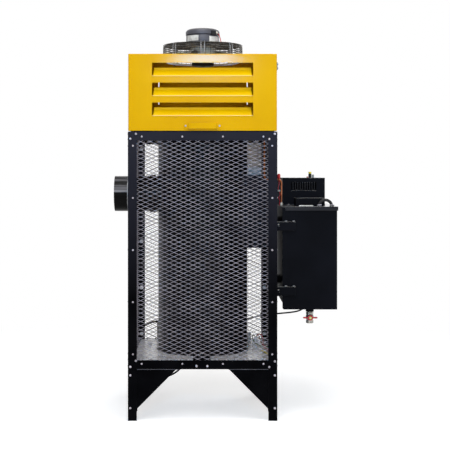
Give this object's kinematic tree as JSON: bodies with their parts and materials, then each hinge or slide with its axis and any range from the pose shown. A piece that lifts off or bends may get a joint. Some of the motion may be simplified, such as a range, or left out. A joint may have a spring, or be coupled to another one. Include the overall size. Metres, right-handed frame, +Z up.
{
  "type": "waste oil heater",
  "caption": "Waste oil heater: mesh cabinet on legs round a burner chamber, louvred hood with axial fan, side oil tank, control box, flue stub and mains lead.",
  "frame": {"origin": "on the floor at the middle of the cabinet's four legs", "axes": "+Z up, +X to the tank and control side, +Y to the side where the hood is hinged and the lead hangs"},
  "size_m": [0.925, 0.657, 1.609],
  "materials": {
    "frame_black": "satin powder coat",
    "mesh_metal": "bright expanded metal",
    "zinc_fasteners": "zinc plated",
    "galvanised": "galvanised",
    "chamber_dark": "heat-proof satin paint",
    "cast_iron": "rough",
    "copper": "drawn copper",
    "rubber_black": "matte",
    "hood_yellow": "gloss powder coat",
    "guard_wire": "satin",
    "motor_grey": "satin",
    "rotor_alloy": "cast",
    "black_plastic": "satin",
    "tank_black": "satin powder coat",
    "nickel": "nickel plated",
    "lever_red": "dipped",
    "pump_metal": "cast",
    "board_green": "gloss",
    "button_yellow": "gloss",
    "button_red": "gloss",
    "knob_grey": "satin",
    "lead_rubber": "satin"
  },
  "bodies": {
    "cabinet": {"post_near_left": "frame_black", "post_near_right": "frame_black", "post_far_left": "frame_black", "post_far_right": "frame_black", "top_frame": "frame_black", "bottom_frame": "frame_black", "gussets_near": "frame_black", "gussets_far": "frame_black", "mesh_near": "mesh_metal", "mesh_far": "mesh_metal", "mesh_back": "mesh_metal", "front_panel": "frame_black", "face_fasteners": "zinc_fasteners", "side_fasteners": "zinc_fasteners", "base_tray": "galvanised", "chamber_shell": "chamber_dark", "chamber_lid": "chamber_dark", "burner_pan": "cast_iron", "flame_ring": "cast_iron", "flue_pipe": "chamber_dark", "flue_plate": "frame_black", "foot_brackets": "frame_black", "neck_box": "frame_black", "fuel_pipe": "copper", "tray_fittings": "galvanised", "hood_seal": "rubber_black", "frame_hinges": "frame_black", "tank_shell": "tank_black", "tank_cover": "tank_black", "tank_brackets": "tank_black", "strainer": "galvanised", "suction_hose": "rubber_black", "drain_valve": "nickel", "control_base": "tank_black", "control_box": "tank_black", "oil_pump": "pump_metal", "circuit_board": "board_green", "panel_fittings": "black_plastic", "coil_hook": "frame_black", "cord_run": "lead_rubber", "cord_coil": "lead_rubber", "cord_tail": "lead_rubber", "mains_plug": "lead_rubber", "cord_tie": "lead_rubber"},
    "hood": {"hood_shell": "hood_yellow", "hood_louvres": "hood_yellow", "hood_top_plate": "hood_yellow", "hood_handle": "hood_yellow", "hood_hinges": "frame_black", "fan_guard": "guard_wire", "motor_body": "motor_grey", "motor_cap": "motor_grey", "terminal_box": "black_plastic"},
    "impeller": {"fan_rotor": "rotor_alloy", "fan_blades": "rotor_alloy"},
    "hatch": {"filler_hatch": "tank_black"},
    "valve": {"valve_lever": "lever_red"},
    "reset": {"reset_button": "button_yellow"},
    "stop": {"stop_button": "button_red"},
    "knob": {"mode_knob": "knob_grey"}
  },
  "joints": [
    {"name": "hood_tilt", "type": "hinge", "parent": "cabinet", "child": "hood", "pos_m": [0, 0.308, 1.165], "axis": [-1, 0, 0], "range_deg": [0, 80]},
    {"name": "fan_spin", "type": "hinge", "parent": "hood", "child": "impeller", "pos_m": [0, 0, 1.49], "axis": [0, 0, 1], "continuous": true},
    {"name": "hatch_hinge", "type": "hinge", "parent": "cabinet", "child": "hatch", "pos_m": [0.439, -0.102, 0.866], "axis": [-1, 0, 0], "range_deg": [0, 90]},
    {"name": "valve_turn", "type": "hinge", "parent": "cabinet", "child": "valve", "pos_m": [0.441, -0.18, 0.402], "axis": [0, 1, 0], "range_deg": [0, 90]},
    {"name": "reset_press", "type": "slide", "parent": "cabinet", "child": "reset", "axis": [0, 0, 1], "range_m": [-0.0025, 0], "stiffness_N_per_m": 300, "springref_m": 0.001},
    {"name": "stop_press", "type": "slide", "parent": "cabinet", "child": "stop", "axis": [0, 0, 1], "range_m": [-0.0018, 0], "stiffness_N_per_m": 300, "springref_m": 0.001},
    {"name": "mode_turn", "type": "hinge", "parent": "cabinet", "child": "knob", "pos_m": [0.4685, -0.025, 0.98], "axis": [0, 0, 1], "range_deg": [-120, 120]}
  ]
}
